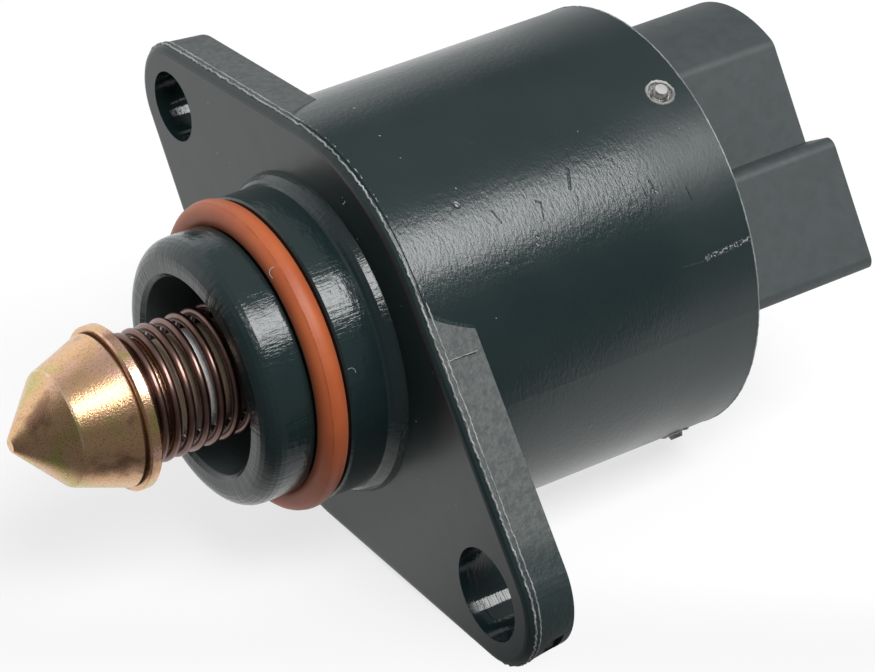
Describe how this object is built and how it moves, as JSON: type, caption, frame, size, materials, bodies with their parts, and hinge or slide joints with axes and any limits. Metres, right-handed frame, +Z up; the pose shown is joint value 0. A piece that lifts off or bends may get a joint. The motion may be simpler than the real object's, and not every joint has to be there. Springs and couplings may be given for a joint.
{
  "type": "idle air control valve",
  "caption": "Stepper idle air control valve: a lead screw in a stepper motor slides a conical pintle to meter bypass air; two-hole flange, sealed nose and rear plug socket.",
  "frame": {"origin": "on the valve's axis, in the flange's mounting face, where the port's centre meets it", "axes": "+X along the axis, out of the nose towards the pintle tip; +Z up as the valve lies on its round body and the long straight side of its flange; +Y to the side of the large screw hole"},
  "size_m": [0.0697, 0.0561, 0.036],
  "materials": {
    "body_moulding": "smooth",
    "cover_moulding": "textured",
    "seal_rust": "satin",
    "seal_black": "satin",
    "zinc_gold": "passivated",
    "screw_steel": "turned",
    "spring_wire": "drawn",
    "guide_tan": "satin",
    "nylon_white": "satin",
    "bearing_steel": "ground",
    "cage_brass": "satin",
    "hub_moulding": "satin",
    "nut_brass": "turned",
    "magnet": "sintered",
    "stator_steel": "pressed",
    "bobbin_white": "satin",
    "copper_winding": "enamelled",
    "bush_bronze": "sintered",
    "terminal_tin": "plated",
    "pin_steel": "swaged"
  },
  "bodies": {
    "valve_body": {"housing": "body_moulding", "nose_o_ring": "seal_rust", "pintle_spring": "spring_wire", "guide_tube": "guide_tan", "guide_ring": "nylon_white", "bearing_outer_race": "bearing_steel", "front_stator_cup": "stator_steel", "front_claw_plate": "stator_steel", "front_bobbin": "bobbin_white", "front_winding": "copper_winding", "rear_stator_cup": "stator_steel", "rear_claw_plate": "stator_steel", "rear_bobbin": "bobbin_white", "rear_winding": "copper_winding", "rear_bush": "bush_bronze", "thrust_washer": "bearing_steel", "cover_seal": "seal_black", "rear_cover": "cover_moulding", "terminal_1": "terminal_tin", "terminal_2": "terminal_tin", "terminal_3": "terminal_tin", "terminal_4": "terminal_tin", "cover_pin_1": "pin_steel", "cover_pin_2": "pin_steel", "cover_pin_3": "pin_steel"},
    "rotor": {"rotor_hub": "hub_moulding", "rotor_nut": "nut_brass", "rotor_magnet": "magnet", "bearing_inner_race": "bearing_steel", "bearing_balls": "bearing_steel", "bearing_cage": "cage_brass"},
    "pintle": {"pintle_head": "zinc_gold", "lead_screw": "screw_steel"}
  },
  "joints": [
    {"name": "rotor_spin", "type": "hinge", "parent": "valve_body", "child": "rotor", "pos_m": [-0.0137, 0, 0], "axis": [1, 0, 0], "range_deg": [0, 2880]},
    {"name": "pintle_slide", "type": "slide", "parent": "valve_body", "child": "pintle", "axis": [-1, 0, 0], "range_m": [0, 0.008], "deforming": ["pintle_spring"]}
  ],
  "couplings": [
    {"joint": "rotor_spin", "follows": "pintle_slide", "rad_per_m": 6283.2}
  ]
}
